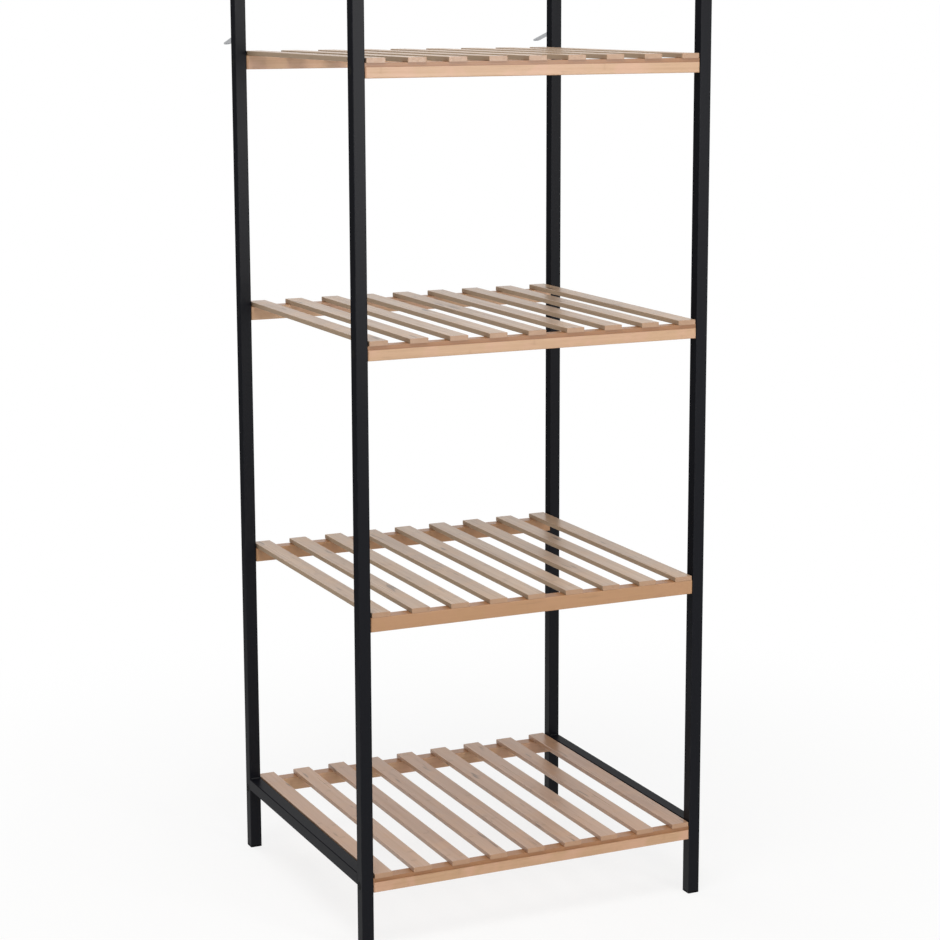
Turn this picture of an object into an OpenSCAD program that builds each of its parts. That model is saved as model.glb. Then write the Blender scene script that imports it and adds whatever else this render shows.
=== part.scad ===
// Slatted bathroom shelving unit. Two side frames of square steel tube carry four slatted bamboo
// shelves, which are bolted between them. Millimetres, Z up. The origin is on the floor at the
// centre of the four feet, X runs from left to right and Y from the front to the back.

/* [Overall] */
// Width over the two side frames
unit_w = 400; // [300:1:600]
// Depth over the front and rear posts
unit_d = 355; // [250:1:450]
// Height of the lowest shelf's underside above the floor
leg_h = 63; // [45:0.5:120]
// Height from one shelf to the same face of the next
shelf_pitch = 277; // [200:1:350]
// Height of the side frames above the top shelf's surface
gallery_h = 86; // [45:0.5:200]
// Number of shelves
shelf_count = 4; // [2:1:4]
// Shelf that is fitted back to front, counted from the floor, or 0 for none
turned_shelf = 2; // [0:1:4]

/* [Side frames] */
// Outside width of the square tube
tube = 13.2; // [12.7:0.1:16]
// Wall of the square tube
tube_wall = 1.2; // [0.8:0.1:1.5]
// Radius of the tube's outside corners
tube_corner = 1; // [0.6:0.1:1]
// Height of the bottom side rail's underside above the lowest shelf's underside
side_rail_rise = 6.5; // [1:0.5:8]

/* [Bamboo shelves] */
// Height of a shelf's front and back rails
rail_h = 15; // [14.5:0.5:22]
// Thickness of a shelf's rails, front to back
rail_t = 15; // [14:0.5:20]
// Height of the step along the top of a stepped rail's outer face
step_h = 4.3; // [2:0.1:5]
// Depth of that step
step_t = 1.5; // [0.5:0.1:1.6]
// Radius of the rails' eased edges
rail_ease = 0.8; // [0.3:0.1:1]
// Radius of the upright edges at a rail's ends
rail_end_r = 2; // [1:0.1:2]
// Number of slats on a shelf
slat_count = 9; // [5:1:9]
// Width of a slat
slat_w = 20; // [19:0.5:24]
// Thickness of a slat
slat_t = 5; // [4.5:0.5:10]
// Radius of the slats' eased edges
slat_ease = 0.7; // [0.3:0.1:1.2]
// Gap between an outer slat and the posts beside it
slat_side_gap = 1.5; // [1:0.1:3]

/* [Shelf bolts] */
// Diameter of the bolt's shank
bolt_d = 5; // [4:0.5:5]
// Diameter of the bolt's head, which seats inside the tube
bolt_head_d = 8; // [7.5:0.1:8.2]
// Height of the bolt's head
bolt_head_h = 3; // [2:0.1:3.5]
// Width across the flats of the bolt's hexagon socket
bolt_socket = 3; // [2:0.5:4]
// Outside diameter of the threaded insert in a rail's end
insert_d = 7.4; // [7:0.1:7.6]
// Length of the threaded insert
insert_len = 8; // [6:0.5:8]
// Diameter of the insert's rim
insert_rim_d = 8.6; // [8.2:0.1:8.8]
// Thickness of the insert's rim
insert_rim_t = 0.8; // [0.5:0.1:1.5]
// Length of the plug that closes a bolt's access hole
hole_plug_len = 3; // [2.5:0.1:3.5]
// Thickness of that plug's face
hole_plug_face = 1; // [0.6:0.1:1.5]
// Height that the plug's bead stands out behind the tube's wall
hole_plug_bead = 0.3; // [0.2:0.1:0.3]

/* [Slat screws] */
// Diameter of the screw's shank
screw_d = 3; // [2:0.1:3]
// Diameter of the screw's head
screw_head_d = 5.6; // [4.5:0.1:6]
// Height of the screw's head
screw_head_h = 2; // [1:0.1:2.4]
// Depth of the screw's head seat in the rail's underside
screw_recess = 2.5; // [2.5:0.1:3.5]
// Depth that the screw reaches into the slat
screw_bite = 3.5; // [2:0.1:3.8]

/* [Foot plugs] */
// Thickness of the plug's flange under the post
foot_t = 2.5; // [1.5:0.1:5]
// Length of the plug's stem inside the post
foot_stem = 14; // [8:0.5:20]
// Wall of the plug's stem
foot_wall = 1.4; // [1:0.1:2]
// Number of ribs that grip the tube
foot_ribs = 3; // [1:1:4]
// Height of a rib
foot_rib_h = 1.2; // [0.8:0.1:1.6]
// Distance that a rib stands out from the stem
foot_rib_reach = 0.8; // [0.4:0.1:1]

/* [Wall ties] */
// Width of the strap
tie_w = 8; // [7:0.5:8.5]
// Thickness of the strap
tie_t = 1.2; // [0.8:0.1:2]
// Length of the strap from its bend to its free end
tie_reach = 38; // [30:1:60]
// Angle of the strap's free leg below level, in degrees
tie_droop = 14; // [0:1:40]
// Height of the tab that lies on the post
tie_tab = 18; // [15:0.5:24]
// Inside radius of the strap's bend
tie_bend = 1.6; // [1:0.1:3]
// Height of the bend above the top shelf's surface
tie_rise = 18; // [6:0.5:24]
// Distance of the strap from the post's inner face
tie_inset = 1; // [0:0.5:2]
// Diameter of the hole for the wall screw
tie_hole_d = 5; // [4:0.1:5.2]
// Diameter of the screw that fixes the strap to the post
tie_screw_d = 3.5; // [3:0.1:3.8]
// Diameter of that screw's head
tie_screw_head_d = 7; // [6:0.1:7.5]
// Height of that screw's head
tie_screw_head_h = 2.2; // [1.5:0.1:3]
// Length of that screw under its head
tie_screw_len = 8; // [6:0.5:9]

/* [Hidden] */
// Radial clearance of a bolt or screw in its hole
hole_fit = 0.2;
// Radial clearance of a bolt's shank in its insert, and of a screw's point in its pilot hole
thread_fit = 0.05;
// Clearance of a plug in its hole or tube, on each side
plug_fit = 0.1;
// Clearance past the end of a shank in a blind hole
tip_gap = 0.5;
// Overlap of a cutter past the face it opens
cut = 1;
// Flats that make up a bend
bend_steps = 12;
// Facets of a round edge
$fn = 32;

inner_w = unit_w - 2 * tube;
bore = tube - 2 * tube_wall;
bore_corner = max(tube_corner - tube_wall, 0.2);
post_x = unit_w / 2 - tube / 2;
post_y = unit_d / 2 - tube / 2;
rail_y = unit_d / 2 - rail_t / 2;
shelf_h = rail_h + slat_t;
top_surface = leg_h + (shelf_count - 1) * shelf_pitch + shelf_h;
unit_h = top_surface + gallery_h;
slat_pitch = (inner_w - 2 * slat_side_gap - slat_w) / (slat_count - 1);
access_d = bolt_head_d + 4 * hole_fit;
tie_z = top_surface + tie_rise;
tie_x = inner_w / 2 + tie_inset + tie_w / 2;
tie_screw_z = tie_z + tie_tab - tie_w / 2;
steel_black = "#232426";
bamboo = "#c99b72";
bamboo_slat = "#bfa084";
zinc = "#b9bcbf";
plastic_black = "#18191a";

function shelf_z(s) = leg_h + (s - 1) * shelf_pitch;
function slat_x(n) = -inner_w / 2 + slat_side_gap + slat_w / 2 + (n - 1) * slat_pitch;

function arc_point(r, a) = r * [cos(a), sin(a)];
function arc(r, from, to) = [for (i = [0 : bend_steps]) arc_point(r, from + (to - from) * i / bend_steps)];

// Helpers

// A rectangle with round corners, centred, made of squares and circles so that its corners are true arcs
module round_rect(w, h, r) {
    square([w - 2 * r, h], center = true);
    square([w, h - 2 * r], center = true);
    for (x = [-1, 1])
        for (y = [-1, 1])
            translate([x * (w / 2 - r), y * (h / 2 - r)])
                circle(r);
}

// The square tube's section
module tube_section() {
    difference() {
        round_rect(tube, tube, tube_corner);
        round_rect(bore, bore, bore_corner);
    }
}

// Turns a front left piece into the one on the given side (-1 left, 1 right) and end (-1 front, 1 rear)
module at_corner(side, end) {
    mirror([side > 0 ? 1 : 0, 0, 0])
        mirror([0, end > 0 ? 1 : 0, 0])
            children();
}

// Turns a part built along Z so that it runs along X
module along_x() {
    rotate([0, 90, 0])
        children();
}

// Lays a profile drawn in Y and Z on the YZ plane and extrudes it along X, centred
module extrude_x(length) {
    rotate([90, 0, 90])
        linear_extrude(length, center = true)
            children();
}

// Places a bolt hole's axis at a front left post, for every shelf; Z is then the bolt's axis, pointing inwards
module at_bolts() {
    for (s = [1 : shelf_count])
        translate([-inner_w / 2, -post_y, shelf_z(s) + rail_h / 2])
            along_x()
                children();
}

// Cuts a tube's end on the diagonal of the corner where the front left post meets the top side rail
module mitre(keep_post) {
    long = 2 * tube;
    corner_y = -unit_d / 2;
    translate([-post_x, 0, 0])
        extrude_x(long)
            translate([corner_y, unit_h])
                polygon(keep_post ? [[0, 0], [long, 0], [long, -long]] : [[0, 0], [0, -long], [long, -long]]);
}

// Side frames

module post(side, end) {
    color(steel_black)
        at_corner(side, end)
            difference() {
                translate([-post_x, -post_y, foot_t])
                    linear_extrude(unit_h - foot_t)
                        tube_section();
                mitre(true);
                at_bolts() {
                    cylinder(h = 2 * (tube_wall + cut), d = bolt_d + 2 * hole_fit, center = true);
                    translate([0, 0, -tube - cut])
                        cylinder(h = tube_wall + 2 * cut, d = access_d);
                }
                if (end > 0)
                    translate([-tie_x, -unit_d / 2, tie_screw_z])
                        rotate([90, 0, 0])
                            cylinder(h = 2 * (tube_wall + cut), d = tie_screw_d + 2 * thread_fit, center = true);
            }
}

module bottom_rail(side) {
    color(steel_black)
        at_corner(side, -1)
            translate([-post_x, 0, leg_h + side_rail_rise + tube / 2])
                rotate([90, 0, 0])
                    linear_extrude(unit_d - 2 * tube, center = true)
                        tube_section();
}

module top_rail(side) {
    color(steel_black)
        at_corner(side, -1)
            difference() {
                translate([-post_x, 0, unit_h - tube / 2])
                    rotate([90, 0, 0])
                        linear_extrude(unit_d, center = true)
                            tube_section();
                mitre(false);
                mirror([0, 1, 0])
                    mitre(false);
            }
}

// The ribbed plug that closes a post's foot
module foot_plug() {
    stem = bore - 2 * plug_fit;
    core = stem - 2 * foot_rib_reach;
    linear_extrude(foot_t)
        round_rect(tube, tube, tube_corner);
    difference() {
        union() {
            translate([0, 0, foot_t])
                linear_extrude(foot_stem)
                    round_rect(core, core, bore_corner);
            for (i = [1 : foot_ribs])
                translate([0, 0, foot_t + i * foot_stem / (foot_ribs + 1) - foot_rib_h / 2])
                    linear_extrude(foot_rib_h)
                        round_rect(stem, stem, bore_corner);
        }
        translate([0, 0, foot_t])
            linear_extrude(foot_stem + cut)
                square(core - 2 * foot_wall, center = true);
    }
}

module foot_plugs() {
    color(plastic_black)
        for (side = [-1, 1])
            for (end = [-1, 1])
                translate([side * post_x, end * post_y, 0])
                    foot_plug();
}

// Shelves

// A rail's section, with the outer face towards -Y and its foot at Z = 0
module rail_section(stepped) {
    difference() {
        translate([0, rail_h / 2])
            round_rect(rail_t, rail_h, rail_ease);
        if (stepped)
            translate([-rail_t / 2 - cut, rail_h - step_h])
                square([step_t + cut, step_h + cut]);
    }
}

// A front rail on the floor of its own shelf, with its slat screw and insert holes
module shelf_rail(stepped) {
    difference() {
        translate([0, -rail_y, 0])
            intersection() {
                extrude_x(inner_w)
                    rail_section(stepped);
                linear_extrude(rail_h)
                    round_rect(inner_w, rail_t, rail_end_r);
            }
        for (n = [1 : slat_count])
            translate([slat_x(n), -rail_y, 0]) {
                cylinder(h = rail_h + cut, d = screw_d + 2 * hole_fit);
                translate([0, 0, -cut])
                    cylinder(h = screw_recess + cut, d = screw_head_d + 2 * hole_fit);
            }
        for (side = [-1, 1])
            at_corner(side, -1)
                translate([-inner_w / 2, -post_y, rail_h / 2])
                    along_x() {
                        translate([0, 0, -cut])
                            cylinder(h = insert_rim_t + cut, d = insert_rim_d + 2 * plug_fit);
                        cylinder(h = insert_len + tip_gap, d = insert_d + 2 * plug_fit);
                    }
    }
}

module front_rail(s) {
    color(bamboo)
        translate([0, 0, shelf_z(s)])
            shelf_rail(s != turned_shelf);
}

module back_rail(s) {
    color(bamboo)
        translate([0, 0, shelf_z(s)])
            at_corner(-1, 1)
                shelf_rail(s == turned_shelf);
}

module slat(s, n) {
    color(bamboo_slat)
        translate([slat_x(n), 0, shelf_z(s) + rail_h])
            difference() {
                translate([0, 0, slat_t / 2])
                    rotate([90, 0, 0])
                        linear_extrude(unit_d, center = true)
                            round_rect(slat_w, slat_t, slat_ease);
                for (end = [-1, 1])
                    translate([0, end * rail_y, -cut])
                        cylinder(h = screw_bite + tip_gap + cut, d = screw_d + 2 * thread_fit);
            }
}

// Fasteners

// A bolt along Z with its head's seat at Z = 0 and its shank above
module shelf_bolt() {
    shank = tube_wall + insert_len - tip_gap;
    difference() {
        union() {
            translate([0, 0, -bolt_head_h])
                cylinder(h = bolt_head_h, d = bolt_head_d);
            cylinder(h = shank, d = bolt_d);
        }
        translate([0, 0, -bolt_head_h - cut])
            cylinder(h = bolt_head_h / 2 + cut, d = bolt_socket / cos(30), $fn = 6);
    }
}

module rail_insert() {
    difference() {
        union() {
            cylinder(h = insert_len, d = insert_d);
            cylinder(h = insert_rim_t, d = insert_rim_d);
        }
        translate([0, 0, -cut])
            cylinder(h = insert_len + 2 * cut, d = bolt_d + 2 * thread_fit);
    }
}

// A plug along Z, flush with the tube's outer face at Z = 0, with a bead that snaps in behind the wall
module hole_plug() {
    stem_d = access_d - 2 * plug_fit;
    difference() {
        union() {
            cylinder(h = hole_plug_len, d = stem_d);
            translate([0, 0, tube_wall])
                cylinder(h = hole_plug_bead, d = access_d + 2 * hole_plug_bead);
        }
        translate([0, 0, hole_plug_face])
            cylinder(h = hole_plug_len + cut, d = stem_d - 2 * foot_wall);
    }
}

// Puts a fastener at every bolt, with Z along its axis and Z = 0 on the rail's end
module at_all_bolts() {
    for (side = [-1, 1])
        for (end = [-1, 1])
            at_corner(side, end)
                at_bolts()
                    children();
}

module shelf_bolts() {
    color(zinc)
        at_all_bolts()
            translate([0, 0, -tube_wall])
                shelf_bolt();
}

module rail_inserts() {
    color("#c9a94e")
        at_all_bolts()
            rail_insert();
}

module hole_plugs() {
    color(plastic_black)
        at_all_bolts()
            translate([0, 0, -tube])
                hole_plug();
}

// A screw up through a rail into a slat, with the rail's underside at Z = 0
module slat_screw() {
    translate([0, 0, screw_recess - screw_head_h])
        cylinder(h = screw_head_h, d = screw_head_d);
    translate([0, 0, screw_recess])
        cylinder(h = rail_h - screw_recess + screw_bite, d = screw_d);
}

module slat_screws() {
    color(zinc)
        for (s = [1 : shelf_count])
            for (n = [1 : slat_count])
                for (end = [-1, 1])
                    translate([slat_x(n), end * rail_y, shelf_z(s)])
                        slat_screw();
}

// Wall ties

// The strap seen from its side, in Y and Z from the centre of its bend: the tab goes up, the free leg to the rear
module tie_profile() {
    outer = tie_bend + tie_t;
    end = 270 - tie_droop;
    leg = tie_reach * [cos(tie_droop), -sin(tie_droop)];
    polygon(concat(
        [[-outer, tie_tab]],
        arc(outer, 180, end),
        [arc_point(outer, end) + leg, arc_point(tie_bend, end) + leg],
        arc(tie_bend, end, 180),
        [[-tie_bend, tie_tab]]
    ));
}

// Cuts one end of the strap round and drills its hole; the strap lies from Y = 0 up to the end, with Z its thickness
module end_cut(length, hole_d) {
    centre = length - tie_w / 2;
    through = tie_t + 2 * cut;
    translate([0, centre, -cut]) {
        cylinder(h = through, d = hole_d);
        difference() {
            translate([-tie_w / 2 - cut, 0, 0])
                cube([tie_w + 2 * cut, tie_w / 2 + cut, through]);
            cylinder(h = through, d = tie_w);
        }
    }
}

// The bent strap, which stands behind the inner half of a rear post
module wall_tie(side) {
    color(zinc)
        at_corner(side, -1)
            translate([-tie_x, unit_d / 2 + tie_t + tie_bend, tie_z])
                difference() {
                    extrude_x(tie_w)
                        tie_profile();
                    translate([0, -tie_bend, 0])
                        rotate([90, 0, 0])
                            end_cut(tie_tab, tie_screw_d + 2 * hole_fit);
                    rotate([-tie_droop, 0, 0])
                        translate([0, 0, -tie_bend - tie_t])
                            end_cut(tie_reach, tie_hole_d);
                }
}

// The screws that fix the two straps to the rear posts
module wall_tie_screws() {
    color(zinc)
        for (side = [-1, 1])
            translate([side * tie_x, unit_d / 2 + tie_t, tie_screw_z])
                rotate([90, 0, 0]) {
                    translate([0, 0, -tie_screw_head_h])
                        cylinder(h = tie_screw_head_h, d = tie_screw_head_d);
                    cylinder(h = tie_screw_len, d = tie_screw_d);
                }
}

post(-1, -1);  // post_front_left
post(1, -1);  // post_front_right
post(-1, 1);  // post_rear_left
post(1, 1);  // post_rear_right
bottom_rail(-1);  // bottom_rail_left
bottom_rail(1);  // bottom_rail_right
top_rail(-1);  // top_rail_left
top_rail(1);  // top_rail_right
for (s = [1 : shelf_count]) {
    front_rail(s);
    back_rail(s);
    for (n = [1 : slat_count])
        slat(s, n);
}
foot_plugs();
shelf_bolts();
rail_inserts();
hole_plugs();
slat_screws();
wall_tie(-1);  // wall_tie_left
wall_tie(1);  // wall_tie_right
wall_tie_screws();
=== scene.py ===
import math

import bmesh
import bpy
from mathutils import Matrix, Vector


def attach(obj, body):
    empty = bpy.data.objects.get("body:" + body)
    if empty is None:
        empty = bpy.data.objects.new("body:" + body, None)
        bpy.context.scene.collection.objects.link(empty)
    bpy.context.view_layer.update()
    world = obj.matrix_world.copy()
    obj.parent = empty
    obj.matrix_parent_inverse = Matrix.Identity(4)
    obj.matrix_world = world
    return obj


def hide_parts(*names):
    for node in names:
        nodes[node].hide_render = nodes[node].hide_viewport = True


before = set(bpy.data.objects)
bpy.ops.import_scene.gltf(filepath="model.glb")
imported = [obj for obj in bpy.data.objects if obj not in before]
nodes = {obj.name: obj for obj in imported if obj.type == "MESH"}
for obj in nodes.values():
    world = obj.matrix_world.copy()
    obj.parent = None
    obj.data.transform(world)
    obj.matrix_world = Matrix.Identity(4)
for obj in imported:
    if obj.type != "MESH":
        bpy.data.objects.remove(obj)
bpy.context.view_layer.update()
print("frame loaded with", len(nodes), "nodes")

mm = 0.001

# Camera

cameraSettings = {
    "location": (-1.0692, -2.3316, 0.9722),
    "rotation": (79.6045, 0.1644, -24.7811),
    "sensorWidth": 36,
    "lens": 91.06,
    "shiftY": -0.04,
    "clip": (0.05, 80),
}


def addCamera(settings):
    data = bpy.data.cameras.new("photoCamera")
    camera = bpy.data.objects.new("photoCamera", data)
    camera.location = settings["location"]
    camera.rotation_euler = [math.radians(a) for a in settings["rotation"]]
    data.sensor_width = settings["sensorWidth"]
    data.lens = settings["lens"]
    data.shift_y = settings["shiftY"]
    data.clip_start, data.clip_end = settings["clip"]
    bpy.context.scene.collection.objects.link(camera)
    bpy.context.scene.camera = camera


addCamera(cameraSettings)
bpy.context.scene.view_settings.view_transform = "Standard"
print("camera placed")

# Lights

lightSettings = [
    {"name": "keyLight", "location": (0.86, -2.4, 0.92), "aim": (0, 0, 0.8),
     "size": (0.62, 1.0), "power": 19.5, "colour": (1, 0.99, 0.98)},
    {"name": "topLight", "location": (-0.6, -1.1, 2.9), "aim": (0, 0, 0.5),
     "size": (1.8, 1.4), "power": 40, "colour": (1, 0.99, 0.98)},
    {"name": "backLight", "location": (-0.8, 2.5, 2.1), "aim": (0, 0, 0.5),
     "size": (1.8, 1.2), "power": 24, "colour": (0.97, 0.98, 1)},
]


def addAreaLight(settings):
    data = bpy.data.lights.new(settings["name"], "AREA")
    data.shape = "RECTANGLE"
    data.size, data.size_y = settings["size"]
    data.energy = settings["power"]
    data.color = settings["colour"]
    light = bpy.data.objects.new(settings["name"], data)
    light.location = settings["location"]
    towards = Vector(settings["aim"]) - light.location
    light.rotation_euler = towards.to_track_quat("-Z", "Y").to_euler()
    bpy.context.scene.collection.objects.link(light)


for settings in lightSettings:
    addAreaLight(settings)


# Node helpers


# Turns a colour as seen on a screen, 0 to 255, into linear values by the sRGB curve
def fromRgb(*screen):
    shares = [c / 255 for c in screen]
    linear = [((c + 0.055) / 1.055) ** 2.4 if c > 0.04 else c / 12.92 for c in shares]
    return linear + [1]


# Sets inputs by name or number, with a constant or with another node's output
def setInputs(tree, node, values):
    for key, value in values.items():
        if isinstance(value, bpy.types.NodeSocket):
            tree.links.new(value, node.inputs[key])
        else:
            node.inputs[key].default_value = value


def addNode(tree, kind, values=None, **properties):
    node = tree.nodes.new("ShaderNode" + kind)
    for name, value in properties.items():
        setattr(node, name, value)
    setInputs(tree, node, values or {})
    return node


def calc(tree, operation, a, b=0.0, c=0.0):
    return addNode(tree, "Math", {0: a, 1: b, 2: c}, operation=operation).outputs[0]


def splitXyz(tree, vector):
    return addNode(tree, "SeparateXYZ", {0: vector}).outputs


def joinXyz(tree, x, y, z):
    return addNode(tree, "CombineXYZ", {0: x, 1: y, 2: z}).outputs[0]


def remap(tree, value, source, target=(0.0, 1.0), smooth=False):
    values = {"Value": value, "From Min": source[0], "From Max": source[1],
              "To Min": target[0], "To Max": target[1]}
    steps = "SMOOTHSTEP" if smooth else "LINEAR"
    return addNode(tree, "MapRange", values, interpolation_type=steps).outputs["Result"]


def noise(tree, position, scale=1.0, detail=2.0, rough=0.5, distortion=0.0):
    values = {"Vector": position, "Scale": scale, "Detail": detail, "Roughness": rough,
              "Distortion": distortion}
    return addNode(tree, "TexNoise", values).outputs["Fac"]


def randomAt(tree, position):
    node = addNode(tree, "TexWhiteNoise", {"Vector": position}, noise_dimensions="3D")
    return node.outputs["Value"]


# Inputs 6 and 7 and output 2 are the colours of a Mix node
def blend(tree, factor, a, b):
    return addNode(tree, "Mix", {0: factor, 6: a, 7: b}, data_type="RGBA").outputs[2]


# Distance of a value from a place on its axis
def apart(tree, value, place):
    return calc(tree, "ABSOLUTE", calc(tree, "SUBTRACT", value, place))


# How far a point of a row of unit cells lies from the middle of its cell
def fromMiddle(tree, turn):
    return apart(tree, calc(tree, "FRACT", turn), 0.5)


# Goes from the first target to the second between two distances before an edge
def near(tree, value, edge, reach, target=(0.0, 1.0)):
    start, end = reach
    return remap(tree, value, (edge - start, edge - end), target)


def newGroup(name, inputs, outputs):
    group = bpy.data.node_groups.new(name, "ShaderNodeTree")
    for way, sockets in (("INPUT", inputs), ("OUTPUT", outputs)):
        for label, kind in sockets.items():
            group.interface.new_socket(label, in_out=way, socket_type="NodeSocket" + kind)
    return group, group.nodes.new("NodeGroupInput"), group.nodes.new("NodeGroupOutput")


def useGroup(tree, group, values):
    node = addNode(tree, "Group", node_tree=group)
    setInputs(tree, node, values)
    return node.outputs


def newMaterial(name):
    material = bpy.data.materials.new(name)
    material.use_nodes = True
    material.node_tree.nodes.clear()
    return material, material.node_tree


# Adds the principled shader of a material and its output
def addShader(tree, values):
    shader = addNode(tree, "BsdfPrincipled", values)
    addNode(tree, "OutputMaterial", {"Surface": shader.outputs["BSDF"]})


# World

white = (1, 1, 1, 1)
worldSettings = {"strength": 0.36, "seenStrength": 1.0}


# 1 for rays that meet the white background: from the camera, off a shine or through glass
def backdropRays(tree):
    path = addNode(tree, "LightPath").outputs
    bent = calc(tree, "MAXIMUM", path["Is Glossy Ray"], path["Is Transmission Ray"])
    return calc(tree, "MAXIMUM", path["Is Camera Ray"], bent)


def makeWorld(settings):
    world = bpy.data.worlds.new("studioWorld")
    world.use_nodes = True
    tree = world.node_tree
    tree.nodes.clear()
    lit = addNode(tree, "Background", {"Color": white, "Strength": settings["strength"]})
    seen = addNode(tree, "Background", {"Color": white, "Strength": settings["seenStrength"]})
    mix = addNode(tree, "MixShader", {0: backdropRays(tree), 1: lit.outputs[0], 2: seen.outputs[0]})
    addNode(tree, "OutputWorld", {"Surface": mix.outputs[0]})
    bpy.context.scene.world = world


makeWorld(worldSettings)
print("lights and world ready")

# Floor

floorSettings = {
    "size": 60,
    "paint": fromRgb(252, 252, 251),
    "roughness": 0.85,
    "shadowShare": 0.2,
    "fade": (0.3, 1.1),
}


# Near the object the floor is painted and shows a share of its shadow, and further off it is
# as white as the background
def makeFloor(settings):
    mesh = bpy.data.meshes.new("studioFloor")
    bm = bmesh.new()
    bmesh.ops.create_grid(bm, x_segments=2, y_segments=2, size=settings["size"] / 2)
    bm.to_mesh(mesh)
    bm.free()
    floor = bpy.data.objects.new("studioFloor", mesh)
    bpy.context.scene.collection.objects.link(floor)
    material, tree = newMaterial("palePaint")
    paint = addNode(tree, "BsdfPrincipled", {"Base Color": settings["paint"],
                                             "Roughness": settings["roughness"]})
    glow = addNode(tree, "Emission", {"Color": white, "Strength": worldSettings["seenStrength"]})
    place = addNode(tree, "TexCoord").outputs["Object"]
    reach = addNode(tree, "VectorMath", {0: place}, operation="LENGTH").outputs["Value"]
    far = remap(tree, reach, settings["fade"], (1 - settings["shadowShare"], 1.0), smooth=True)
    whiteness = calc(tree, "MULTIPLY", far, backdropRays(tree))
    mix = addNode(tree, "MixShader", {0: whiteness, 1: paint.outputs[0], 2: glow.outputs[0]})
    addNode(tree, "OutputMaterial", {"Surface": mix.outputs[0]})
    mesh.materials.append(material)


makeFloor(floorSettings)
print("floor ready")

# Bamboo

shelfSettings = {
    "count": 4,
    "railBottom": 63 * mm,
    "pitch": 277 * mm,
    "cellStart": 0.2,
    "cellSlack": 1 * mm,
    "railHeight": 15 * mm,
    "stepBottom": 10.7 * mm,
    "slatCount": 9,
    "slatPitch": 43.825 * mm,
    "slatWidth": 20 * mm,
    "depth": 355 * mm,
}

# Each pair is a number of cells to the metre, along the fibres and across them
grainSettings = {
    "fibre": (26.0, 2300.0),
    "streak": (7.0, 420.0),
    "smudge": (17.0, 115.0),
    "fibreInSmudge": 0.16,
    "smudgeRange": (0.645, 0.74),
    "pieceShift": 7.31,
    "smudgeShift": 91.7,
    "stripWidth": 6.7 * mm,
    "stripSeed": 0.5,
    "ringSpacing": 245 * mm,
    "ringShift": 5.7,
    "ringRange": (2.2 * mm, 0.2 * mm),
    "haloRange": (9 * mm, 0.5 * mm),
    "waveScale": 260.0,
    "waveReach": 2.4 * mm,
}


# Stretches a position to the cells of a pattern
def patternPlace(group, axes, cells, firstShift, shift):
    along, across, through = axes
    cellsAlong, cellsAcross = cells
    return joinXyz(group,
                   calc(group, "MULTIPLY_ADD", along, cellsAlong, firstShift),
                   calc(group, "MULTIPLY", across, cellsAcross),
                   calc(group, "MULTIPLY_ADD", through, cellsAcross, shift))


# Bamboo glued up of strips: X of the position runs along the fibres and Y across the strips.
# Fibre and Streak are fine and broad lines, Strip a tone for each strip, Knuckle the dark rings
# with Halo round them, and Smudge the few long dark flecks
def makeGrainGroup(settings):
    labels = ("Fibre", "Streak", "Strip", "Knuckle", "Halo", "Smudge")
    group, given, made = newGroup("bambooGrain", {"Position": "Vector", "Seed": "Float"},
                                  {label: "Float" for label in labels})
    position, seed = given.outputs["Position"], given.outputs["Seed"]
    axes = list(splitXyz(group, position))
    along, across = axes[:2]
    shift = calc(group, "MULTIPLY", seed, settings["pieceShift"])
    fibrePlace = patternPlace(group, axes, settings["fibre"], shift, shift)
    streakPlace = patternPlace(group, axes, settings["streak"], shift, shift)
    smudgeShift = calc(group, "MULTIPLY", seed, settings["smudgeShift"])
    smudgePlace = patternPlace(group, axes, settings["smudge"], smudgeShift, shift)
    fibre = noise(group, fibrePlace, detail=3.0, rough=0.62)
    streak = noise(group, streakPlace, detail=2.0, rough=0.55)
    share = settings["fibreInSmudge"]
    smudge = calc(group, "ADD", noise(group, smudgePlace, detail=2.0, rough=0.5),
                  calc(group, "MULTIPLY_ADD", fibre, share, -0.5 * share))
    stripTurn = calc(group, "MULTIPLY_ADD", across, 1 / settings["stripWidth"], shift)
    stripNumber = calc(group, "FLOOR", stripTurn)
    strip = randomAt(group, joinXyz(group, stripNumber, seed, settings["stripSeed"]))
    wave = noise(group, position, settings["waveScale"], detail=2.0)
    wavy = calc(group, "MULTIPLY_ADD", wave, settings["waveReach"], along)
    turn = calc(group, "ADD", calc(group, "MULTIPLY", wavy, 1 / settings["ringSpacing"]),
                calc(group, "MULTIPLY", strip, settings["ringShift"]))
    distance = calc(group, "MULTIPLY", fromMiddle(group, turn), settings["ringSpacing"])
    setInputs(group, made, {
        "Fibre": fibre,
        "Streak": streak,
        "Strip": strip,
        "Knuckle": remap(group, distance, settings["ringRange"], smooth=True),
        "Halo": remap(group, distance, settings["haloRange"], smooth=True),
        "Smudge": remap(group, smudge, settings["smudgeRange"], smooth=True),
    })
    return group


grainGroup = makeGrainGroup(grainSettings)

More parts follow.
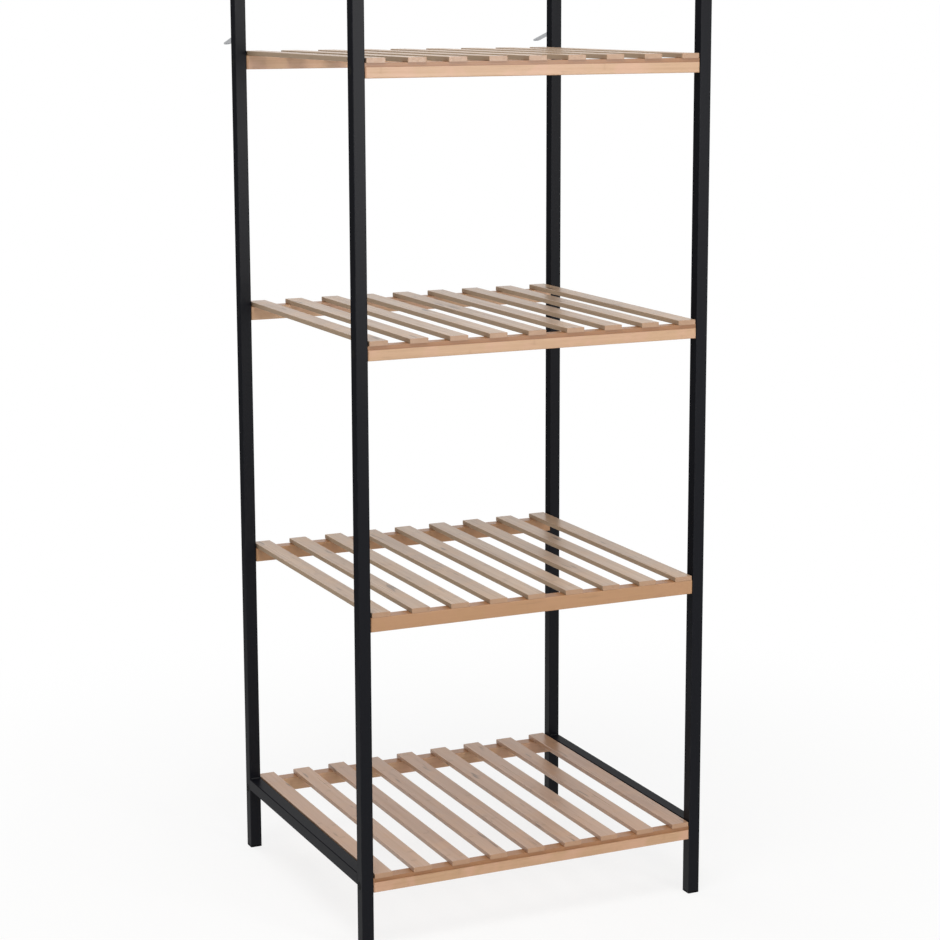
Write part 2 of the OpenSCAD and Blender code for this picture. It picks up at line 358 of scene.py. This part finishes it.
# What all bamboo shares: how much each pattern darkens it, its warm patches, its darker strips with
# the painted shade in the rails' rebate, and the faces that the saw left, darker as painted shade
# between the slats. Each reach is two distances before an edge
bambooSettings = {
    "shelfMargin": 0.1,
    "streakShare": 0.55,
    "fibreShare": 0.35,
    "stripShare": 0.22,
    "pieceShare": 0.3,
    "toneRange": (0.15, 0.8),
    "patchScale": 26.0,
    "patchRange": (0.42, 0.66),
    "patchShare": 0.45,
    "haloShare": 0.5,
    "polishRange": (0.3, 0.7),
    "ringRelief": 0.5,
    "bumpStrength": 0.6,
    "endDarkness": 0.8,
    "endReach": (0.35 * mm, 0.05 * mm),
    "stepReach": (0.1 * mm, -0.1 * mm),
    "topReach": (0.3 * mm, 0.1 * mm),
    "outsideReach": (2.2 * mm, 2 * mm),
    "proudReach": (0.9 * mm, 0.5 * mm),
    "undersideSawn": 0.7,
    "undersideRange": (0.4 * mm, 0.1 * mm),
    "sideSawnAndShade": 0.85,
    "sideReach": (0.5 * mm, 0.1 * mm),
}
railSettings = {
    "name": "bambooRail",
    "seed": 0.37,
    "light": fromRgb(209, 172, 137),
    "dark": fromRgb(181, 142, 107),
    "ring": fromRgb(158, 116, 84),
    "darkToneAndShade": fromRgb(159, 113, 75),
    "side": fromRgb(176, 136, 100),
    "blush": fromRgb(208, 162, 138),
    "fleck": fromRgb(120, 88, 62),
    "otherShelf": 1,
    "otherTone": fromRgb(171, 127, 87),
    "otherShare": 0.8,
    "otherSawn": 1.0,
    "smudge": 0.2,
    "knuckle": 0.14,
    "roughness": (0.3, 0.38),
    "sawn": 0.6,
    "specular": 0.45,
    "bump": 0.06 * mm,
}
slatSettings = {
    "name": "bambooSlat",
    "seed": 0.61,
    "light": fromRgb(192, 165, 139),
    "dark": fromRgb(154, 124, 98),
    "ring": fromRgb(134, 102, 78),
    "darkToneAndShade": fromRgb(172, 134, 104),
    "side": fromRgb(161, 137, 111),
    "blush": fromRgb(190, 152, 112),
    "fleck": fromRgb(92, 68, 50),
    "otherShelf": 0,
    "otherTone": fromRgb(186, 138, 112),
    "otherShare": 0.35,
    "otherSawn": 0.0,
    "smudge": 0.8,
    "knuckle": 0.3,
    "roughness": (0.27, 0.36),
    "sawn": 0.45,
    "specular": 0.5,
    "bump": 0.05 * mm,
}


# Height above the underside of the rail of the shelf that the point belongs to
def shelfHeight(tree, z):
    slack = shelfSettings["cellSlack"]
    above = calc(tree, "SUBTRACT", z, shelfSettings["railBottom"] - slack)
    return calc(tree, "SUBTRACT", calc(tree, "MODULO", above, shelfSettings["pitch"]), slack)


# Place in the row of slats, counted in pitches, with each slat in the middle of its cell
def slatPlace(tree, x):
    return calc(tree, "MULTIPLY_ADD", x, 1 / shelfSettings["slatPitch"], 0.5)


# A rail's upper strip is darker on its outside, which is painted shade in the rebate under the slat
# ends, and its top is darker too, and so are a slat's two ends
def darkToneAndShadeMask(tree, y, z, alongX, shared):
    depth = calc(tree, "ABSOLUTE", y)
    front = 0.5 * shelfSettings["depth"]
    if not alongX:
        return near(tree, depth, front, shared["endReach"], (0, shared["endDarkness"]))
    height = shelfHeight(tree, z)
    above = near(tree, height, shelfSettings["stepBottom"], shared["stepReach"])
    onTop = near(tree, height, shelfSettings["railHeight"], shared["topReach"])
    outside = near(tree, depth, front, shared["outsideReach"])
    proud = near(tree, depth, front, shared["proudReach"], (1, 0))
    # Painted shade on the rebate's recessed face
    shadedStep = calc(tree, "MULTIPLY", calc(tree, "MULTIPLY", above, outside), proud)
    return calc(tree, "MAXIMUM", shadedStep, onTop)


# The faces that aren't polished, rougher and darker: a rail's underside and a slat's two long
# sides, where the darkening is painted shade between the slats
def sawnAndShadedMask(tree, x, z, alongX, shared):
    if alongX:
        height = shelfHeight(tree, z)
        return remap(tree, height, shared["undersideRange"], (0, shared["undersideSawn"]))
    away = calc(tree, "MULTIPLY", fromMiddle(tree, slatPlace(tree, x)), shelfSettings["slatPitch"])
    half = 0.5 * shelfSettings["slatWidth"]
    return near(tree, away, half, shared["sideReach"], (0, shared["sideSawnAndShade"]))


# 0 where a piece is light and 1 where it is dark
def grainTone(tree, grain, seed, shared):
    tone = calc(tree, "MULTIPLY_ADD", grain["Streak"], shared["streakShare"],
                calc(tree, "MULTIPLY", grain["Fibre"], shared["fibreShare"]))
    for value, share in ((grain["Strip"], shared["stripShare"]), (seed, shared["pieceShare"])):
        centred = calc(tree, "SUBTRACT", value, 0.5)
        tone = calc(tree, "ADD", tone, calc(tree, "MULTIPLY", centred, share))
    return remap(tree, tone, shared["toneRange"])


def makeBamboo(settings, alongX, shared):
    material, tree = newMaterial(settings["name"])
    place = addNode(tree, "TexCoord").outputs["Object"]
    x, y, z = splitXyz(tree, place)
    cell = calc(tree, "MULTIPLY_ADD", z, 1 / shelfSettings["pitch"], -shelfSettings["cellStart"])
    shelf = calc(tree, "FLOOR", cell)
    piece = calc(tree, "SIGN", y) if alongX else calc(tree, "FLOOR", slatPlace(tree, x))
    seed = randomAt(tree, joinXyz(tree, shelf, piece, settings["seed"]))
    grainPlace = joinXyz(tree, x, z, y) if alongX else joinXyz(tree, y, x, z)
    grain = useGroup(tree, grainGroup, {"Position": grainPlace, "Seed": seed})

    patchNoise = noise(tree, place, shared["patchScale"], detail=2.0, rough=0.55, distortion=0.6)
    patch = remap(tree, patchNoise, shared["patchRange"], (0, shared["patchShare"]), smooth=True)
    isOther = calc(tree, "COMPARE", shelf, settings["otherShelf"], shared["shelfMargin"])
    sawn = calc(tree, "MULTIPLY", sawnAndShadedMask(tree, x, z, alongX, shared),
                remap(tree, isOther, (0, 1), (1, settings["otherSawn"])))
    haloShare = shared["haloShare"] * settings["knuckle"]
    layers = [
        (patch, "blush"),
        (calc(tree, "MULTIPLY", isOther, settings["otherShare"]), "otherTone"),
        (calc(tree, "MULTIPLY", grain["Smudge"], settings["smudge"]), "fleck"),
        (calc(tree, "MULTIPLY", grain["Halo"], haloShare), "dark"),
        (calc(tree, "MULTIPLY", grain["Knuckle"], settings["knuckle"]), "ring"),
        # Darker sawn faces: on the slats' long sides this is painted shade between the slats
        (sawn, "side"),
        # Painted shade in the rails' rebate, with the rails' tops and the slat ends darker
        (darkToneAndShadeMask(tree, y, z, alongX, shared), "darkToneAndShade"),
    ]
    tone = grainTone(tree, grain, seed, shared)
    colour = blend(tree, tone, settings["light"], settings["dark"])
    for mask, name in layers:
        colour = blend(tree, mask, colour, settings[name])

    polished = remap(tree, grain["Streak"], shared["polishRange"], settings["roughness"])
    relief = calc(tree, "MULTIPLY_ADD", grain["Knuckle"], shared["ringRelief"], grain["Fibre"])
    bump = addNode(tree, "Bump", {"Strength": shared["bumpStrength"],
                                  "Distance": settings["bump"], "Height": relief})
    addShader(tree, {
        "Base Color": colour,
        "Roughness": calc(tree, "MULTIPLY_ADD", sawn, settings["sawn"], polished),
        "Specular IOR Level": settings["specular"],
        "Normal": bump.outputs["Normal"],
    })
    return material


bambooRail = makeBamboo(railSettings, True, bambooSettings)
bambooSlat = makeBamboo(slatSettings, False, bambooSettings)
print("bamboo ready")

# Powder-coated steel, plastic and zinc

tubeSettings = {
    "width": 13.2 * mm,
    "corner": 1 * mm,
    "cornerEnd": 0.35,
    "railSlack": 0.05 * mm,
    "postX": 193.4 * mm,
    "postY": 170.9 * mm,
    "topRailZ": 993.4 * mm,
    "bottomRailZ": 76.1 * mm,
    "wearScale": 60.0,
    "wearRange": (0.4, 0.62),
}


# Edge is 1 on the posts' round corners, where the coat rubs thin, and 0 on their flats.
# Corner is 1 on the side rails' round corners, where the coat's sheen is taken off to paint a dark
# reflection line along them
def makeTubeEdgeGroup(settings):
    group, given, made = newGroup("tubeEdges", {"Position": "Vector", "Wear": "Float"},
                                  {"Edge": "Float", "Corner": "Float"})
    position = given.outputs["Position"]
    x, y, z = splitXyz(group, position)
    acrossX = apart(group, calc(group, "ABSOLUTE", x), settings["postX"])
    acrossY = apart(group, calc(group, "ABSOLUTE", y), settings["postY"])
    acrossZ = calc(group, "MINIMUM", apart(group, z, settings["topRailZ"]),
                   apart(group, z, settings["bottomRailZ"]))
    half = 0.5 * settings["width"]
    onRail = calc(group, "GREATER_THAN", acrossY, half + settings["railSlack"])
    onPost = calc(group, "SUBTRACT", 1.0, onRail)
    acrossTube = calc(group, "ADD", calc(group, "MULTIPLY", onRail, acrossZ),
                      calc(group, "MULTIPLY", onPost, acrossY))
    inner = calc(group, "MINIMUM", acrossX, acrossTube)
    cornerRange = (half - settings["corner"], half - settings["cornerEnd"] * settings["corner"])
    edge = remap(group, inner, cornerRange, smooth=True)
    patches = noise(group, position, settings["wearScale"], detail=4.0, rough=0.65)
    broken = remap(group, patches, settings["wearRange"])
    worn = calc(group, "MULTIPLY", calc(group, "MULTIPLY", edge, broken), given.outputs["Wear"])
    setInputs(group, made, {"Edge": calc(group, "MULTIPLY", worn, onPost),
                            "Corner": calc(group, "MULTIPLY", edge, onRail)})
    return group


tubeEdgeGroup = makeTubeEdgeGroup(tubeSettings)

# What both coats share. paintedSideSheenRange is the height over which the sides' painted sheen
# changes
finishSettings = {
    "cloudScale": 14.0,
    "speckScale": 420.0,
    "speckRange": (0.62, 0.74),
    "dustRange": (0.45, 0.7),
    "dustShare": 0.5,
    "roughnessRange": (0.3, 0.7),
    "sideLimit": 0.7,
    "paintedSideSheenRange": (0, 0.42),
    "bumpStrength": 0.5,
}
coatSettings = {
    "name": "blackPowderCoat",
    "colour": fromRgb(18, 19, 24),
    "worn": fromRgb(30, 31, 33),
    "edge": fromRgb(50, 51, 54),
    "wear": 0.3,
    "roughness": (0.5, 0.6),
    "sheen": 0.085,
    "paintedSideSheen": (0.19, 0.035),
    "sheenRoughness": 0.32,
    "sheenIor": 1.9,
    "grainSize": 0.9 * mm,
    "bump": 0.03 * mm,
}
plasticSettings = {
    "name": "blackPlastic",
    "colour": fromRgb(16, 16, 17),
    "worn": fromRgb(28, 28, 29),
    "edge": fromRgb(48, 48, 50),
    "wear": 0.3,
    "roughness": (0.5, 0.64),
    "sheen": 0.12,
    "paintedSideSheen": (0.2, 0.12),
    "sheenRoughness": 0.5,
    "sheenIor": 1.5,
    "grainSize": 0.5 * mm,
    "bump": 0.02 * mm,
}


# The sides and tops get more sheen near the floor than higher up, a painted reflection of brighter
# surroundings low down, and the fronts and backs an even sheen
def coatSheen(tree, settings, shared, coordinates, corner):
    height = splitXyz(tree, coordinates["Object"])["Z"]
    facing = calc(tree, "ABSOLUTE", splitXyz(tree, coordinates["Normal"])["Y"])
    isSide = calc(tree, "LESS_THAN", facing, shared["sideLimit"])
    paintedSideSheen = remap(tree, height, shared["paintedSideSheenRange"], settings["paintedSideSheen"], smooth=True)
    sheen = remap(tree, isSide, (0, 1), (settings["sheen"], paintedSideSheen))
    # Painted reflection: no sheen on the side rails' round corners, so they show a dark line
    return calc(tree, "MULTIPLY", sheen, calc(tree, "SUBTRACT", 1.0, corner))


def makeCoat(settings, shared):
    material, tree = newMaterial(settings["name"])
    coordinates = addNode(tree, "TexCoord").outputs
    place = coordinates["Object"]
    peel = noise(tree, place, 1 / settings["grainSize"], detail=2.0, rough=0.5)
    cloud = noise(tree, place, shared["cloudScale"], detail=3.0, rough=0.6)
    speckNoise = noise(tree, place, shared["speckScale"], detail=4.0, rough=0.7)
    specks = remap(tree, speckNoise, shared["speckRange"])
    dusty = remap(tree, cloud, shared["dustRange"], (0.0, shared["dustShare"]))
    dust = calc(tree, "MULTIPLY", specks, dusty)
    edges = useGroup(tree, tubeEdgeGroup, {"Position": place, "Wear": settings["wear"]})
    colour = blend(tree, dust, settings["colour"], settings["worn"])
    bump = addNode(tree, "Bump", {"Strength": shared["bumpStrength"],
                                  "Distance": settings["bump"], "Height": peel})
    addShader(tree, {
        "Base Color": blend(tree, edges["Edge"], colour, settings["edge"]),
        "Roughness": remap(tree, cloud, shared["roughnessRange"], settings["roughness"]),
        "Specular IOR Level": 0,
        "Coat Weight": coatSheen(tree, settings, shared, coordinates, edges["Corner"]),
        "Coat Roughness": settings["sheenRoughness"],
        "Coat IOR": settings["sheenIor"],
        "Normal": bump.outputs["Normal"],
        "Coat Normal": bump.outputs["Normal"],
    })
    return material


powderCoat = makeCoat(coatSettings, finishSettings)
blackPlastic = makeCoat(plasticSettings, finishSettings)

platingSettings = {
    "spangleScale": 700.0,
    "spangleRange": (0.35, 0.7),
    "roughnessRange": (0.3, 0.7),
    "drawnScale": (2400.0, 90.0, 90.0),
    "bumpStrength": 0.4,
    "bump": 0.02 * mm,
}
metalSettings = [
    {"name": "zincPlate", "colour": fromRgb(172, 174, 177), "dull": fromRgb(150, 152, 155),
     "roughness": (0.34, 0.46)},
    {"name": "boltZinc", "colour": fromRgb(180, 182, 185), "dull": fromRgb(146, 148, 151),
     "roughness": (0.28, 0.42)},
    {"name": "insertBrass", "colour": fromRgb(214, 178, 98), "dull": fromRgb(170, 138, 74),
     "roughness": (0.25, 0.4)},
]


def makeMetal(settings, shared):
    material, tree = newMaterial(settings["name"])
    place = addNode(tree, "TexCoord").outputs["Object"]
    spangle = noise(tree, place, shared["spangleScale"], detail=3.0, rough=0.55)
    drawnPlace = addNode(tree, "VectorMath", {0: place, 1: shared["drawnScale"]},
                         operation="MULTIPLY").outputs[0]
    drawn = noise(tree, drawnPlace, detail=2.0, rough=0.6)
    bump = addNode(tree, "Bump", {"Strength": shared["bumpStrength"],
                                  "Distance": shared["bump"], "Height": drawn})
    dullness = remap(tree, spangle, shared["spangleRange"])
    addShader(tree, {
        "Base Color": blend(tree, dullness, settings["colour"], settings["dull"]),
        "Roughness": remap(tree, spangle, shared["roughnessRange"], settings["roughness"]),
        "Metallic": 1.0,
        "Normal": bump.outputs["Normal"],
    })
    return material


zincPlate, boltZinc, insertBrass = [makeMetal(each, platingSettings) for each in metalSettings]
print("metals and plastic ready")

# New pieces

mergeDistance = 0.001 * mm


# Turns a bmesh into an object with its normals outward
def makeObject(bm, name):
    bmesh.ops.remove_doubles(bm, verts=bm.verts, dist=mergeDistance)
    bmesh.ops.recalc_face_normals(bm, faces=bm.faces)
    mesh = bpy.data.meshes.new(name)
    bm.to_mesh(mesh)
    bm.free()
    made = bpy.data.objects.new(name, mesh)
    bpy.context.scene.collection.objects.link(made)
    return made


# Makes a new piece that rides on the frame
def finishPiece(bm, name, material):
    piece = makeObject(bm, name)
    piece.data.materials.append(material)
    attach(piece, "root")
    return piece


# Adds a copy of everything in source to bm, placed by a matrix
def addCopy(bm, source, matrix):
    before = len(bm.verts)
    bm.from_mesh(source)
    bm.verts.ensure_lookup_table()
    bmesh.ops.transform(bm, matrix=matrix, verts=bm.verts[before:])


def turned(degrees, axis):
    return Matrix.Rotation(math.radians(degrees), 4, axis)


# A recess is the length, width and depth of its cross. The screws are turned by turnBySlat from
# slat to slat, by turnByShelf from shelf to shelf, and by turnAtBack on the back rails
slatScrewSettings = {
    "head": 5.6 * mm,
    "headHeight": 2 * mm,
    "shank": 3 * mm,
    "length": 16 * mm,
    "point": 3 * mm,
    "recess": (3.5 * mm, 0.75 * mm, 1.2 * mm),
    "segments": 16,
    "seat": 2.5 * mm,
    "railY": 170 * mm,
    "turnBySlat": 37,
    "turnByShelf": 61,
    "turnAtBack": 13,
}
tieScrewSettings = {
    "head": 7 * mm,
    "headHeight": 2.2 * mm,
    "shank": 3.5 * mm,
    "length": 8 * mm,
    "point": 1.5 * mm,
    "recess": (4.2 * mm, 0.9 * mm, 1.4 * mm),
    "segments": 32,
    "x": 191.8 * mm,
    "y": 178.7 * mm,
    "z": 946 * mm,
}
# The pan head's profile as shares of its radius and height, and the recess's taper and turn
headProfile = [(0, 1), (0.55, 1), (0.82, 0.88), (0.96, 0.6), (1, 0.3), (1, 0)]
recessTaper = (0.55, 0.7, 1)
recessTurn = 20


# A pan head below Z = 0 with its shank above, turned from one profile
def turnScrew(settings):
    radius, high = 0.5 * settings["head"], settings["headHeight"]
    shank, length = 0.5 * settings["shank"], settings["length"]
    profile = [(across * radius, -up * high) for across, up in headProfile]
    profile += [(shank, 0), (shank, length - settings["point"]), (0, length)]
    bm = bmesh.new()
    verts = [bm.verts.new((across, 0, up)) for across, up in profile]
    edges = [bm.edges.new(pair) for pair in zip(verts, verts[1:])]
    bmesh.ops.spin(bm, geom=verts + edges, cent=(0, 0, 0), axis=(0, 0, 1), angle=2 * math.pi,
                   steps=settings["segments"], use_merge=True)
    return bm


# One wing of the cross recess, narrower at its bottom inside the head
def makeWing(settings, degrees):
    long, wide, deep = settings["recess"]
    bm = bmesh.new()
    bmesh.ops.create_cube(bm, size=1)
    inside = [v for v in bm.verts if v.co.z > 0]
    bmesh.ops.scale(bm, vec=recessTaper, verts=inside)
    bmesh.ops.scale(bm, vec=(long, wide, 2 * deep), verts=bm.verts)
    bmesh.ops.transform(bm, matrix=turned(degrees, "Z"), verts=bm.verts)
    bmesh.ops.translate(bm, vec=(0, 0, -settings["headHeight"]), verts=bm.verts)
    return bm


# The screw's mesh with its cross recess cut in
def makeScrewMesh(settings):
    screw = makeObject(turnScrew(settings), "screwBlank")
    wings = [makeObject(makeWing(settings, degrees), "recessWing")
             for degrees in (recessTurn, recessTurn + 90)]
    for wing in wings:
        cutter = screw.modifiers.new("recess", "BOOLEAN")
        cutter.operation = "DIFFERENCE"
        cutter.solver = "EXACT"
        cutter.object = wing
    cut = screw.evaluated_get(bpy.context.evaluated_depsgraph_get())
    shape = bpy.data.meshes.new_from_object(cut)
    for loose in [screw] + wings:
        bpy.data.objects.remove(loose)
    return shape


def makeSlatScrews(settings):
    shape = makeScrewMesh(settings)
    bm = bmesh.new()
    half = shelfSettings["slatCount"] // 2
    for shelf in range(shelfSettings["count"]):
        z = shelfSettings["railBottom"] + shelf * shelfSettings["pitch"] + settings["seat"]
        for slat in range(-half, half + 1):
            x = slat * shelfSettings["slatPitch"]
            degrees = settings["turnBySlat"] * slat + settings["turnByShelf"] * shelf
            for y, more in ((-settings["railY"], 0), (settings["railY"], settings["turnAtBack"])):
                place = Matrix.Translation((x, y, z))
                addCopy(bm, shape, place @ turned(degrees + more, "Z"))
    piece = finishPiece(bm, "slatScrews", boltZinc)
    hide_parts("slat_screws")


def makeTieScrews(settings):
    shape = makeScrewMesh(settings)
    bm = bmesh.new()
    for x in (-settings["x"], settings["x"]):
        place = Matrix.Translation((x, settings["y"], settings["z"]))
        addCopy(bm, shape, place @ turned(90, "X"))
    piece = finishPiece(bm, "wallTieScrews", boltZinc)
    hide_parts("wall_tie_screws")


makeSlatScrews(slatScrewSettings)
makeTieScrews(tieScrewSettings)
print("screws ready")

weldSettings = {
    "radius": 1.3 * mm,
    "ripple": 0.14,
    "length": 11 * mm,
    "rings": 22,
    "sides": 12,
    "endGirth": 0.35,
    "endGrowth": 0.3,
    "endRings": 2,
}


# Girth of the bead at one of its rings, as a share of its radius
def beadGirth(settings, ring):
    fromEnd = min(ring, settings["rings"] - ring)
    if fromEnd < settings["endRings"]:
        return settings["endGirth"] + settings["endGrowth"] * fromEnd
    return 1 - settings["ripple"] * (ring % 2)


# One weld bead along X: a round bar whose girth swells and shrinks as the weld's ripples do
def makeBead(settings):
    bm = bmesh.new()
    rings, length = settings["rings"], settings["length"]
    girth = beadGirth(settings, 0)
    bmesh.ops.create_circle(bm, segments=settings["sides"], radius=settings["radius"] * girth,
                            cap_ends=True)
    bmesh.ops.transform(bm, matrix=turned(90, "Y"), verts=bm.verts)
    bmesh.ops.translate(bm, vec=(-0.5 * length, 0, 0), verts=bm.verts)
    loop = list(bm.edges)
    for ring in range(1, rings + 1):
        grown = bmesh.ops.extrude_edge_only(bm, edges=loop)["geom"]
        verts = [g for g in grown if isinstance(g, bmesh.types.BMVert)]
        edges = [g for g in grown if isinstance(g, bmesh.types.BMEdge)]
        loop = [edge for edge in edges if all(v in verts for v in edge.verts)]
        bmesh.ops.translate(bm, vec=(length / rings, 0, 0), verts=verts)
        change = beadGirth(settings, ring) / girth
        bmesh.ops.scale(bm, vec=(1, change, change), verts=verts)
        girth = beadGirth(settings, ring)
    bmesh.ops.contextual_create(bm, geom=loop)
    bmesh.ops.recalc_face_normals(bm, faces=bm.faces)
    shape = bpy.data.meshes.new("weldBead")
    bm.to_mesh(shape)
    bm.free()
    return shape


# Beads in the corners above and below each end of the two bottom side rails
def makeWelds(settings, tube):
    shape = makeBead(settings)
    bm = bmesh.new()
    half = 0.5 * tube["width"]
    for x in (-tube["postX"], tube["postX"]):
        for y in (half - tube["postY"], tube["postY"] - half):
            for z in (tube["bottomRailZ"] - half, tube["bottomRailZ"] + half):
                addCopy(bm, shape, Matrix.Translation((x, y, z)))
    finishPiece(bm, "frameWelds", powderCoat)


makeWelds(weldSettings, tubeSettings)
print("welds ready")

# Materials on the CAD nodes


def materialOf(name):
    if name.startswith(("post_", "top_rail", "bottom_rail")):
        return powderCoat
    if "_slat_" in name:
        return bambooSlat
    if name.startswith("shelf_") and name.endswith("_rail"):
        return bambooRail
    if name in ("foot_plugs", "hole_plugs"):
        return blackPlastic
    if name in ("wall_tie_left", "wall_tie_right"):
        return zincPlate
    return insertBrass if name == "rail_inserts" else boltZinc


for name in nodes:
    for slotItem in nodes[name].material_slots:
        slotItem.material = materialOf(name)
print("CAD nodes dressed")
